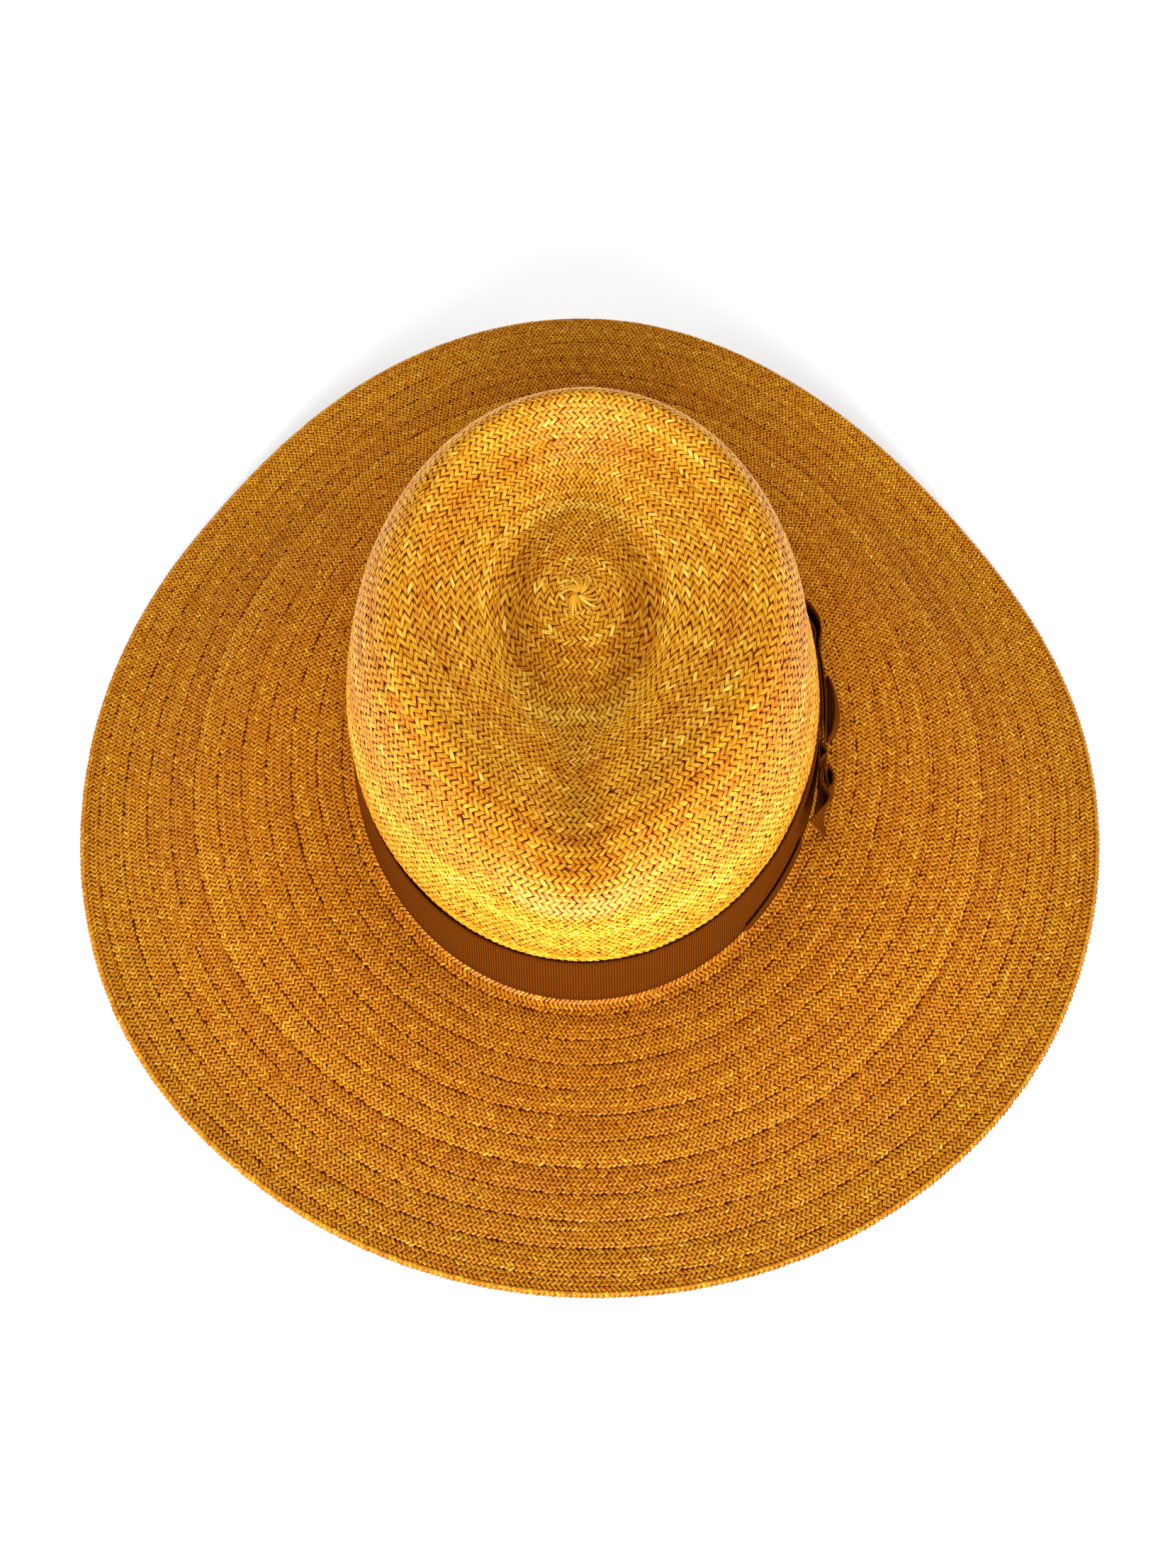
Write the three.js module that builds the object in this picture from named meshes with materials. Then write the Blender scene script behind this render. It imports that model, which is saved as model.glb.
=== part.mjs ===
// A wide-brimmed straw fedora: one woven straw body, a ribbon band and a folded side bow.
// Millimetres, +Z up. The front of the hat looks along -Y and the wearer's left is +X.
// The brim rests on the floor at z = 0, and the origin is on the floor under the middle of the brim.
import * as THREE from "three";

// ---- Driving dimensions ----------------------------------------------------

const STRAW_WALL = 1.6; // thickness of the woven straw
const RIBBON = 1.0; // thickness of the ribbon
const GAP = 0.3; // clearance between pieces that lie on each other

const CROWN_MID_X = -0.8; // the middle of the crown's foot, seen from the middle of the brim
const CROWN_MID_Y = 4.0;
const BASE_LEVEL = 17.0; // top of the brim at the crown's foot, above the floor
const BAND_LOW = 2.5; // ribbon's lower edge, above the base level
const BAND_HIGH = 33.5; // ribbon's upper edge, above the base level

const EDGE_STRIP = 0.93; // share of the brim's width where its level edge strip starts
const BRIM_DROOP = 1.35; // power of the fall: over 1 keeps the brim level near the crown

const BEARINGS = 72; // columns of the straw body, round the hat
const BRIM_STEPS = 7; // rows of the brim, from the crown to its edge strip

// ---- The crown: horizontal rings from the centre of its top to its foot --------
// mid_x, mid_y: the ring's centre; side, front, back: its reach from there.
// z_side, z_front, z_back: its height above the base level at those places.
// pinch: how far the front is pressed in on both sides; groove: depth of the crease in front.
// steps: rows of the mesh from this ring to the next.
const RING_COLUMNS = [
  "name",
  "mid_x", "mid_y", "side", "front", "back",
  "z_side", "z_front", "z_back", "pinch", "groove", "steps",
];
const RINGS = namedRows(RING_COLUMNS, [
  ["button", -2, 12, 0, 0, 0, 76, 76, 76, 0, 0, 1],
  ["dome", -2, 12, 13, 20, 18, 74.5, 75, 75, 0, 0, 2],
  ["moat", -2, 12, 23, 45, 40, 70, 70.5, 73, -1, 0, 2],
  ["lip", -2, 12, 30, 54, 49, 79, 79, 77, -0.5, 6, 2],
  ["terrace", -1, 10, 43, 66, 58, 86, 89, 83.5, 3, 8, 2],
  ["crest", 0, 8, 56, 85, 69, 91.5, 94, 91.5, 5, 8, 2],
  ["shoulder", -1, 3, 67.5, 95, 84.5, 81, 83, 80, 5, 2, 3],
  ["cheek", -1.5, 0, 75.5, 95, 92.5, 57, 59, 56, 2, 0, 2],
  ["swell", -0.5, 0, 79.4, 96.2, 95.2, 40, 40, 40, 0, 0, 1],
  ["band_top", 0, 0, 79.3, 95.4, 95.2, 33.5, 33.5, 33.5, 0, 0, 2],
  ["base", 0, 0, 84.4, 100.9, 100.9, 2.5, 2.5, 2.5, 0, 0, 1],
  ["foot", 0, 0, 86.0, 102.5, 102.5, 0.7, 0.7, 0.7, 0, 0, 1],
  ["root", 0, 0, 90.5, 107.0, 107.0, 0, 0, 0, 0, 0, 0],
]);

// The two pinches at the front of the crown, each side of straight ahead (degrees).
const FRONT = 270;
const PINCH = { aside: 42, spread: 38 };
const GROOVE_SPREAD = 24;

// Soft dents and bulges of single rings. push: outwards (mm), at a bearing with a spread (degrees).
const FOLDS = [
  { ring: "shoulder", bearing: 322, spread: 40, push: 2.0 },
  { ring: "cheek", bearing: 322, spread: 40, push: 2.5 },
  { ring: "cheek", bearing: 248, spread: 30, push: -2.0 },
  { ring: "swell", bearing: 248, spread: 30, push: -0.8 },
];

// ---- The brim: reach of its edge from the middle, every 30 degrees from +X -------

const EDGE_REACH = [190.7, 183.3, 184.6, 190, 192.4, 188.7, 190.8, 193.7, 190.4, 190, 192.1, 194.3];

// Where the edge lifts off the floor: height (mm) at a bearing, with a spread (degrees).
const EDGE_LIFTS = [
  { bearing: 270, spread: 72, height: 12 },
  { bearing: 90, spread: 60, height: 22 },
];

// ---- The bow and the band's lap: ribbon strips that stand beside the band -----------
// along: distance round the band from the wearer's left, towards the back.
// low_off, high_off: how far the strip's lower and upper edges stand off the band (to its middle).
// low_z, high_z: heights of those edges above the base level.
// cut: how much shorter its lower edge is at its end (mm).
const STRIP_COLUMNS = ["along", "low_off", "high_off", "low_z", "high_z"];
const STRIPS = {
  // The ribbon's end, lapped over the join and showing below it.
  band_lap: {
    steps: 14,
    rows: [
      [-47, 0.8, 0.8, 3.2, 11],
      [-60, 0.8, 0.8, 3.2, 11],
      [-74, 0.8, 0.8, 3.2, 10],
      [-86, 0.8, 0.8, 3.2, 8],
    ],
  },
  // Two layers that run flat along the band behind the knot.
  bow_back_layer: {
    steps: 12,
    rows: [
      [21, 0.8, 0.8, 5, 30.5],
      [8, 0.8, 0.8, 4, 32],
      [-5, 0.8, 0.8, 4, 32],
      [-17, 0.8, 0.8, 4.5, 31.5],
    ],
  },
  bow_front_layer: {
    steps: 12,
    rows: [
      [19.5, 2.1, 2.1, 6, 30],
      [7, 2.1, 2.1, 6, 31],
      [-5, 2.1, 2.1, 6, 31],
      [-17, 2.1, 2.1, 6.5, 30.5],
    ],
  },
  // A loop folded towards the back, pinched where it meets the flat layers.
  bow_rear_loop: {
    steps: 26,
    rows: [
      [22, 2.6, 2.6, 6, 30],
      [24.5, 4.0, 4.0, 5, 31],
      [28.5, 4.9, 4.9, 4, 31.5],
      [33, 4.7, 4.7, 4, 31.5],
      [37.6, 3.4, 3.4, 4, 31.5],
      [39.2, 2.2, 2.2, 4, 31.5],
      [37.4, 0.9, 0.9, 4, 31.5],
      [33.5, 0.9, 0.9, 4, 31.5],
      [29, 1.8, 1.8, 4, 31.5],
      [25.5, 2.2, 2.2, 5, 31],
      [22.3, 1.1, 1.1, 6, 30],
    ],
  },
  // The narrow twist in front of the knot, where the ribbon turns over.
  bow_twist: {
    steps: 16,
    rows: [
      [-18, 0.9, 0.9, 7, 30],
      [-19.6, 2.0, 2.4, 7, 30.5],
      [-21.4, 2.6, 3.2, 7, 30.5],
      [-23.4, 1.4, 2.0, 7, 30],
      [-25, 1.0, 1.2, 7, 29.5],
      [-26.4, 1.9, 2.3, 7, 29.5],
    ],
  },
  // A small open teardrop loop on the outside, high up.
  bow_small_loop: {
    steps: 22,
    rows: [
      [-25.4, 4.4, 4.2, 15, 29.5],
      [-26.8, 5.8, 5.8, 14, 29.5],
      [-28.8, 6.8, 6.8, 14, 29],
      [-31.2, 7.0, 7.0, 14, 28.5],
      [-32.6, 6.2, 6.2, 14, 28.5],
      [-31.4, 5.2, 5.2, 14, 28.5],
      [-29, 4.3, 4.3, 14, 29],
      [-27, 3.7, 3.6, 15, 29],
    ],
  },
  // The outer ribbon of the front loop, from the twist round to its flared end, cut at a slant.
  bow_tail: {
    steps: 24,
    cut: 7,
    rows: [
      [-27.6, 2.2, 2.6, 6, 29.5],
      [-29.8, 1.6, 2.6, 4, 30],
      [-32.2, 1.4, 3.8, 2.5, 30],
      [-34.4, 1.6, 5.8, 2, 30],
      [-36.6, 2.4, 7.2, 2, 30],
      [-39.5, 4.4, 7.0, 3, 30],
      [-43.5, 7.0, 5.2, 4, 29.5],
      [-47.5, 7.6, 3.2, 4, 28],
    ],
  },
};

const CUT_POWER = 3; // over 1 keeps the slanted cut near the strip's end

// The knot: a strip wrapped up and over the flat layers, fullest at its middle.
const KNOT = {
  rear: 8,
  front: -16.5,
  inner_off: 3.4, // where both its ends tuck in behind
  least: 0.6, // how far its rear and front edges stand out beyond them
  bulge: 3.4, // how much further its middle does
  fullness: 0.6, // power of the bulge across: under 1 keeps it full towards the edges
  low_z: 4,
  high_z: 31.5,
  turn: 0.94, // share of a half turn that it makes on its way up and over
  tuck: 5, // how far its upper end turns down behind it
  tuck_from: 0.9, // share of its length where that starts
  lean: 11, // how far its front edge draws back at its low end
  columns: 10,
  rows: 10,
};

const COLOURS = { straw: 0xc98a2b, ribbon: 0x7a4014 };

// ---- Helpers -----------------------------------------------------------------------

const radians = THREE.MathUtils.degToRad;

// A table's rows as objects, each number under its column's name.
function namedRows(columns, rows) {
  return rows.map((row) => Object.fromEntries(columns.map((name, i) => [name, row[i]])));
}

// 1 at the bearing, falling smoothly to 0 at the spread on either side.
function bump(bearing, at, spread) {
  const off = Math.abs(((bearing - at + 540) % 360) - 180) / spread;
  return off < 1 ? Math.cos((off * Math.PI) / 2) ** 2 : 0;
}

// A Catmull-Rom curve between b and c, at a share w of the way.
function between(a, b, c, d, w) {
  const bend = (2 * a - 5 * b + 4 * c - d) * w * w + (3 * b - a - 3 * c + d) * w ** 3;
  return 0.5 * (2 * b + (c - a) * w + bend);
}

// A closed curve through equally spaced values.
function around(values, bearing) {
  const n = values.length;
  const place = ((((bearing / 360) * n) % n) + n) % n;
  const k = Math.floor(place);
  const [a, b, c, d] = [-1, 0, 1, 2].map((i) => values[(k + i + n) % n]);
  return between(a, b, c, d, place - k);
}

// A smooth curve through a table's rows, at n + 1 places.
function smoothRows(rows, n) {
  const row = (k) => rows[Math.min(Math.max(k, 0), rows.length - 1)];
  return Array.from({ length: n + 1 }, (_, i) => {
    const place = (i / n) * (rows.length - 1);
    const k = Math.min(Math.floor(place), rows.length - 2);
    const [a, b, c, d] = [-1, 0, 1, 2].map((j) => row(k + j));
    const columns = Object.keys(b);
    return Object.fromEntries(
      columns.map((name) => [name, between(a[name], b[name], c[name], d[name], place - k)]),
    );
  });
}

function meshOf(name, positions, triangles, colour, roughness) {
  const geometry = new THREE.BufferGeometry();
  geometry.setAttribute("position", new THREE.Float32BufferAttribute(positions.flat(), 3));
  geometry.setIndex(triangles.flat());
  geometry.computeVertexNormals();
  const material = new THREE.MeshStandardMaterial({ color: colour, roughness, metalness: 0 });
  const mesh = new THREE.Mesh(geometry, material);
  mesh.name = name;
  return mesh;
}

// ---- The straw body ----------------------------------------------------------------

function ringPoint(ring, bearing) {
  const c = Math.cos(radians(bearing));
  const s = Math.sin(radians(bearing));
  const ahead = Math.max(-s, 0) ** 2;
  const behind = Math.max(s, 0) ** 2;
  const pinched =
    bump(bearing, FRONT - PINCH.aside, PINCH.spread) +
    bump(bearing, FRONT + PINCH.aside, PINCH.spread);
  let out = -ring.pinch * pinched;
  for (const fold of FOLDS) {
    if (fold.ring === ring.name) out += fold.push * bump(bearing, fold.bearing, fold.spread);
  }
  const z =
    ring.z_side +
    (ring.z_front - ring.z_side) * ahead +
    (ring.z_back - ring.z_side) * behind -
    ring.groove * bump(bearing, FRONT, GROOVE_SPREAD);
  return new THREE.Vector3(
    CROWN_MID_X + ring.mid_x + (ring.side + out) * c,
    CROWN_MID_Y + ring.mid_y + ((s < 0 ? ring.front : ring.back) + out) * s,
    BASE_LEVEL + z,
  );
}

// The brim's top surface at a share (0 to 1) of the way from the crown's root to the edge.
function brimPoint(bearing, share) {
  const root = ringPoint(RINGS.at(-1), bearing);
  const reach = around(EDGE_REACH, bearing);
  const edge = new THREE.Vector3(
    reach * Math.cos(radians(bearing)),
    reach * Math.sin(radians(bearing)),
    STRAW_WALL,
  );
  for (const lift of EDGE_LIFTS) edge.z += lift.height * bump(bearing, lift.bearing, lift.spread);
  const fallen = Math.min(share / EDGE_STRIP, 1) ** BRIM_DROOP;
  const point = root.clone().lerp(edge, share);
  point.z = edge.z + (root.z - edge.z) * Math.cos((fallen * Math.PI) / 2) ** 2;
  return point;
}

// The outside of the hat along one bearing, from the button to the edge of the brim.
function meridian(bearing) {
  const curve = new THREE.CatmullRomCurve3(
    RINGS.map((ring) => ringPoint(ring, bearing)),
    false,
    "centripetal",
  );
  const points = [];
  RINGS.slice(0, -1).forEach((ring, k) => {
    for (let i = 0; i < ring.steps; i += 1) {
      points.push(curve.getPoint((k + i / ring.steps) / (RINGS.length - 1)));
    }
  });
  for (let i = 0; i <= BRIM_STEPS; i += 1) {
    points.push(brimPoint(bearing, (EDGE_STRIP * i) / BRIM_STEPS));
  }
  points.push(brimPoint(bearing, 1));
  return points;
}

const CROWN_ROWS = RINGS.reduce((sum, ring) => sum + ring.steps, 0);

// The point on the wall's other face: square to the crown's surface, straight down under the brim.
function inward(grid, row, column) {
  if (row >= CROWN_ROWS) {
    const { x, y, z } = grid[column][row];
    return new THREE.Vector3(x, y, z - STRAW_WALL);
  }
  const n = grid.length;
  const before = grid[(column + n - 1) % n];
  const after = grid[(column + 1) % n];
  const along = after[row].clone().sub(before[row]);
  const line = grid[column];
  const down = line[row + 1].clone().sub(line[row - 1]);
  const normal = down.cross(along).normalize();
  return line[row].clone().addScaledVector(normal, -STRAW_WALL);
}

function strawBody() {
  const grid = Array.from({ length: BEARINGS }, (_, k) => meridian((k * 360) / BEARINGS));
  const rows = grid[0].length;
  const outer = grid.map((line) => line.slice(1));
  const inner = grid.map((line, k) => line.slice(1).map((_, i) => inward(grid, i + 1, k)));
  const top = grid[0][0];
  const positions = [top.toArray(), [top.x, top.y, top.z - STRAW_WALL]];
  for (const line of outer) for (const p of line) positions.push(p.toArray());
  for (const line of inner) for (const p of line) positions.push(p.toArray());

  const perLine = rows - 1;
  const out = (k, i) => 2 + (k % BEARINGS) * perLine + i;
  const inn = (k, i) => out(k, i) + BEARINGS * perLine;
  const triangles = [];
  for (let k = 0; k < BEARINGS; k += 1) {
    triangles.push([0, out(k, 0), out(k + 1, 0)]);
    triangles.push([1, inn(k + 1, 0), inn(k, 0)]);
    for (let i = 0; i < perLine - 1; i += 1) {
      triangles.push([out(k, i), out(k, i + 1), out(k + 1, i + 1)]);
      triangles.push([out(k, i), out(k + 1, i + 1), out(k + 1, i)]);
      triangles.push([inn(k, i), inn(k + 1, i + 1), inn(k, i + 1)]);
      triangles.push([inn(k, i), inn(k + 1, i), inn(k + 1, i + 1)]);
    }
    const e = perLine - 1;
    triangles.push([out(k, e), inn(k, e), inn(k + 1, e)]);
    triangles.push([out(k, e), inn(k + 1, e), out(k + 1, e)]);
  }
  return meshOf("straw_body", positions, triangles, COLOURS.straw, 0.55);
}

// ---- The ribbon round the crown ------------------------------------------------------

const BAND_RINGS = ["base", "band_top"].map((name) => RINGS.find((ring) => ring.name === name));

// A point beside the band's seat on the straw: off is measured square to the straw, in plan.
function besideCrown(bearing, z, off) {
  const [base, top] = BAND_RINGS.map((ring) => ringPoint(ring, bearing));
  const point = base.clone().lerp(top, (z - BAND_LOW) / (BAND_HIGH - BAND_LOW));
  const c = Math.cos(radians(bearing)) / BAND_RINGS[0].side;
  const s = Math.sin(radians(bearing)) / BAND_RINGS[0].front;
  const outward = new THREE.Vector3(c, s, 0).normalize();
  return point.addScaledVector(outward, off);
}

function hatBand() {
  const near = GAP;
  const far = GAP + RIBBON;
  const corners = [
    [BAND_LOW + GAP, near],
    [BAND_LOW + GAP, far],
    [(BAND_LOW + BAND_HIGH) / 2, far],
    [BAND_HIGH, far],
    [BAND_HIGH, near],
    [(BAND_LOW + BAND_HIGH) / 2, near],
  ];
  const positions = [];
  const triangles = [];
  const n = corners.length;
  for (let k = 0; k < BEARINGS; k += 1) {
    const next = (k + 1) % BEARINGS;
    corners.forEach(([z, off], i) => {
      positions.push(besideCrown((k * 360) / BEARINGS, z, off).toArray());
      const j = (i + 1) % n;
      triangles.push([k * n + i, next * n + i, next * n + j]);
      triangles.push([k * n + i, next * n + j, k * n + j]);
    });
  }
  return meshOf("hat_band", positions, triangles, COLOURS.ribbon, 0.7);
}

// ---- The bow ---------------------------------------------------------------------------

// A point at a distance round the band from the wearer's left, standing off the band's face.
function besideBand(along, z, off) {
  const bearing = THREE.MathUtils.radToDeg(along / BAND_RINGS[0].front);
  return besideCrown((bearing + 360) % 360, z, GAP + RIBBON + off);
}

// A strip of ribbon on edge: each row is one place along it.
function ribbonStrip(name, { steps, cut = 0, rows }) {
  const places = smoothRows(namedRows(STRIP_COLUMNS, rows), steps).map((row, k) => [
    besideBand(row.along + cut * (k / steps) ** CUT_POWER, row.low_z, row.low_off),
    besideBand(row.along, row.high_z, row.high_off),
  ]);
  const positions = [];
  const triangles = [];
  const last = places.length - 1;
  places.forEach((edges, k) => {
    const run = places[Math.min(k + 1, last)][0].clone().sub(places[Math.max(k - 1, 0)][0]);
    const across = new THREE.Vector3(-run.y, run.x, 0).setLength(RIBBON / 2);
    for (const [edge, side] of [[0, 1], [1, 1], [1, -1], [0, -1]]) {
      positions.push(edges[edge].clone().addScaledVector(across, side).toArray());
    }
    if (k === last) return;
    for (let i = 0; i < 4; i += 1) {
      const a = k * 4 + i;
      const b = k * 4 + ((i + 1) % 4);
      triangles.push([a, b, b + 4], [a, b + 4, a + 4]);
    }
  });
  const end = last * 4;
  triangles.push([0, 2, 1], [0, 3, 2], [end, end + 1, end + 2], [end, end + 2, end + 3]);
  return meshOf(name, positions, triangles, COLOURS.ribbon, 0.7);
}

// The knot's sheet: across runs from its rear to its front edge, up from its low end over the top.
function knotPoint(across, up, depth) {
  const bulge = KNOT.bulge * Math.sin(Math.PI * across) ** KNOT.fullness;
  const off = KNOT.inner_off + (KNOT.least + bulge) * Math.sqrt(Math.sin(Math.PI * up)) - depth;
  const turned = 1 - Math.cos(Math.PI * KNOT.turn * up);
  const climbed = turned / (1 - Math.cos(Math.PI * KNOT.turn));
  const tucked = KNOT.tuck * Math.max(up - KNOT.tuck_from, 0) / (1 - KNOT.tuck_from);
  const along = KNOT.rear + (KNOT.front - KNOT.rear + KNOT.lean * Math.max(1 - climbed, 0)) * across;
  const z = KNOT.low_z + (KNOT.high_z - KNOT.low_z) * climbed - tucked;
  return besideBand(along, z, off);
}

function bowKnot() {
  const { columns, rows } = KNOT;
  const positions = [];
  for (const depth of [0, RIBBON]) {
    for (let i = 0; i <= columns; i += 1) {
      for (let j = 0; j <= rows; j += 1) {
        positions.push(knotPoint(i / columns, j / rows, depth).toArray());
      }
    }
  }
  const sheet = (columns + 1) * (rows + 1);
  const at = (i, j, layer) => layer * sheet + i * (rows + 1) + j;
  const triangles = [];
  const quad = (a, b, c, d) => triangles.push([a, b, c], [a, c, d]);
  for (let i = 0; i < columns; i += 1) {
    for (let j = 0; j < rows; j += 1) {
      quad(at(i, j, 0), at(i, j + 1, 0), at(i + 1, j + 1, 0), at(i + 1, j, 0));
      quad(at(i, j, 1), at(i + 1, j, 1), at(i + 1, j + 1, 1), at(i, j + 1, 1));
    }
    quad(at(i, 0, 0), at(i + 1, 0, 0), at(i + 1, 0, 1), at(i, 0, 1));
    quad(at(i, rows, 0), at(i, rows, 1), at(i + 1, rows, 1), at(i + 1, rows, 0));
  }
  for (let j = 0; j < rows; j += 1) {
    quad(at(0, j, 0), at(0, j, 1), at(0, j + 1, 1), at(0, j + 1, 0));
    quad(at(columns, j, 0), at(columns, j + 1, 0), at(columns, j + 1, 1), at(columns, j, 1));
  }
  return meshOf("bow_knot", positions, triangles, COLOURS.ribbon, 0.7);
}

// ---- The hat ---------------------------------------------------------------------------

const hat = new THREE.Group();
hat.name = "straw_fedora";
hat.add(strawBody(), hatBand(), bowKnot());
for (const [name, strip] of Object.entries(STRIPS)) hat.add(ribbonStrip(name, strip));

export default hat;
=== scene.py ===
"""A wide-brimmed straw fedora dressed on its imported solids: woven straw, ribbon band and side bow.

Sizes are in millimetres and bearings in degrees, counted from the wearer's left (+X) towards the
back (+Y). Meshes are written in metres.
"""

import math

import bpy
import numpy as np
from mathutils import Matrix


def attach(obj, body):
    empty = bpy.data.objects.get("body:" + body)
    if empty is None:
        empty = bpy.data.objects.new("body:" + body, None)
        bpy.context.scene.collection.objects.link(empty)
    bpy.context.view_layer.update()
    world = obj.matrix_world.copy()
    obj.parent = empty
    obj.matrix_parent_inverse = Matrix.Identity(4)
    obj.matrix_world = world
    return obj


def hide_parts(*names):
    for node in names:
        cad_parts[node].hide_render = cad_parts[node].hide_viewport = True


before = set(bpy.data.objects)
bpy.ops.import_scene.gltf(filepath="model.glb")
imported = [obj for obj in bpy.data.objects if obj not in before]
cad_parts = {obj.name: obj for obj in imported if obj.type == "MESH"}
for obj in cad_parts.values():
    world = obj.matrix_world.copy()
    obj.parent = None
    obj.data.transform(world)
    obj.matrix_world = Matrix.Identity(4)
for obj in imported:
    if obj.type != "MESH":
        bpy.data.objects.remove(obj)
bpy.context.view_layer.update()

MM = 0.001
rng = np.random.default_rng(29)

# ---- The straw body: the same sizes as the solids -----------------------------------------------

STRAW_WALL = 1.6  # thickness of the woven straw
RIBBON = 1.0  # thickness of the ribbon's solids
GAP = 0.3  # clearance between pieces that lie on each other
CROWN_MID = (-0.8, 4.0)  # the middle of the crown's foot, seen from the middle of the brim
BASE_LEVEL = 17.0  # top of the brim at the crown's foot, above the floor
BAND_LOW = 2.5  # ribbon's lower edge, above the base level
BAND_HIGH = 33.5  # ribbon's upper edge, above the base level
EDGE_STRIP = 0.93  # share of the brim's width where its level edge strip starts
BRIM_DROOP = 1.35  # power of the fall: over 1 keeps the brim level near the crown


def named_rows(columns, rows):
    """A table's rows as dictionaries, each number under its column's name."""
    return [dict(zip(columns, row)) for row in rows]


# Horizontal rings from the centre of the crown's top to its foot: centre, reach, height above the
# base level, how far the front is pressed in on both sides, and the depth of the crease in front.
RINGS = named_rows(
    ("name", "mid_x", "mid_y", "side", "front", "back", "z_side", "z_front", "z_back", "pinch", "groove"),
    [
        ("button", -2, 12, 0, 0, 0, 76, 76, 76, 0, 0),
        ("dome", -2, 12, 13, 20, 18, 74.5, 75, 75, 0, 0),
        ("moat", -2, 12, 23, 45, 40, 70, 70.5, 73, -1, 0),
        ("lip", -2, 12, 30, 54, 49, 79, 79, 77, -0.5, 6),
        ("terrace", -1, 10, 43, 66, 58, 86, 89, 83.5, 3, 8),
        ("crest", 0, 8, 56, 85, 69, 91.5, 94, 91.5, 5, 8),
        ("shoulder", -1, 3, 67.5, 95, 84.5, 81, 83, 80, 5, 2),
        ("cheek", -1.5, 0, 75.5, 95, 92.5, 57, 59, 56, 2, 0),
        ("swell", -0.5, 0, 79.4, 96.2, 95.2, 40, 40, 40, 0, 0),
        ("band_top", 0, 0, 79.3, 95.4, 95.2, 33.5, 33.5, 33.5, 0, 0),
        ("base", 0, 0, 84.4, 100.9, 100.9, 2.5, 2.5, 2.5, 0, 0),
        ("foot", 0, 0, 86.0, 102.5, 102.5, 0.7, 0.7, 0.7, 0, 0),
        ("root", 0, 0, 90.5, 107.0, 107.0, 0, 0, 0, 0, 0),
    ],
)
FRONT = 270
PINCH = {"aside": 42, "spread": 38}
GROOVE_SPREAD = 24
FOLDS = named_rows(
    ("ring", "bearing", "spread", "push"),
    [
        ("shoulder", 322, 40, 2.0),
        ("cheek", 322, 40, 2.5),
        ("cheek", 248, 30, -2.0),
        ("swell", 248, 30, -0.8),
    ],
)

# Reach of the brim's edge every 30 degrees, and where it lifts off the floor.
EDGE_REACH = (190.7, 183.3, 184.6, 190, 192.4, 188.7, 190.8, 193.7, 190.4, 190, 192.1, 194.3)
EDGE_LIFTS = named_rows(("bearing", "spread", "height"), [(270, 72, 12), (90, 60, 22)])


# The bow's strips and the band's lap, one row for each place along a strip: distance round the band
# from the wearer's left, how far its lower and upper edges stand off the band, their heights.
STRIPS = {
    "band_lap": [
        (-47, 0.8, 0.8, 3.2, 11),
        (-60, 0.8, 0.8, 3.2, 11),
        (-74, 0.8, 0.8, 3.2, 10),
        (-86, 0.8, 0.8, 3.2, 8),
    ],
    "bow_back_layer": [
        (21, 0.8, 0.8, 5, 30.5),
        (8, 0.8, 0.8, 4, 32),
        (-5, 0.8, 0.8, 4, 32),
        (-17, 0.8, 0.8, 4.5, 31.5),
    ],
    "bow_front_layer": [
        (19.5, 2.1, 2.1, 6, 30),
        (7, 2.1, 2.1, 6, 31),
        (-5, 2.1, 2.1, 6, 31),
        (-17, 2.1, 2.1, 6.5, 30.5),
    ],
    "bow_rear_loop": [
        (22, 2.6, 2.6, 6, 30),
        (24.5, 4.0, 4.0, 5, 31),
        (28.5, 4.9, 4.9, 4, 31.5),
        (33, 4.7, 4.7, 4, 31.5),
        (37.6, 3.4, 3.4, 4, 31.5),
        (39.2, 2.2, 2.2, 4, 31.5),
        (37.4, 0.9, 0.9, 4, 31.5),
        (33.5, 0.9, 0.9, 4, 31.5),
        (29, 1.8, 1.8, 4, 31.5),
        (25.5, 2.2, 2.2, 5, 31),
        (22.3, 1.1, 1.1, 6, 30),
    ],
    "bow_twist": [
        (-18, 0.9, 0.9, 7, 30),
        (-19.6, 2.0, 2.4, 7, 30.5),
        (-21.4, 2.6, 3.2, 7, 30.5),
        (-23.4, 1.4, 2.0, 7, 30),
        (-25, 1.0, 1.2, 7, 29.5),
        (-26.4, 1.9, 2.3, 7, 29.5),
    ],
    "bow_small_loop": [
        (-25.4, 4.4, 4.2, 15, 29.5),
        (-26.8, 5.8, 5.8, 14, 29.5),
        (-28.8, 6.8, 6.8, 14, 29),
        (-31.2, 7.0, 7.0, 14, 28.5),
        (-32.6, 6.2, 6.2, 14, 28.5),
        (-31.4, 5.2, 5.2, 14, 28.5),
        (-29, 4.3, 4.3, 14, 29),
        (-27, 3.7, 3.6, 15, 29),
    ],
    "bow_tail": [
        (-27.6, 2.2, 2.6, 6, 29.5),
        (-29.8, 1.6, 2.6, 4, 30),
        (-32.2, 1.4, 3.8, 2.5, 30),
        (-34.4, 1.6, 5.8, 2, 30),
        (-36.6, 2.4, 7.2, 2, 30),
        (-39.5, 4.4, 7.0, 3, 30),
        (-43.5, 7.0, 5.2, 4, 29.5),
        (-47.5, 7.6, 3.2, 4, 28),
    ],
}
SLANTED_CUTS = {"bow_tail": 7}  # how much shorter a strip's lower edge is at its end (mm)
CUT_POWER = 3  # over 1 keeps the slanted cut near the strip's end
KNOT = {
    "rear": 8,
    "front": -16.5,
    "inner_off": 3.4,
    "least": 0.6,
    "bulge": 3.4,
    "fullness": 0.6,
    "low_z": 4,
    "high_z": 31.5,
    "turn": 0.94,
    "tuck": 5,
    "tuck_from": 0.9,
    "lean": 11,
}


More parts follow.
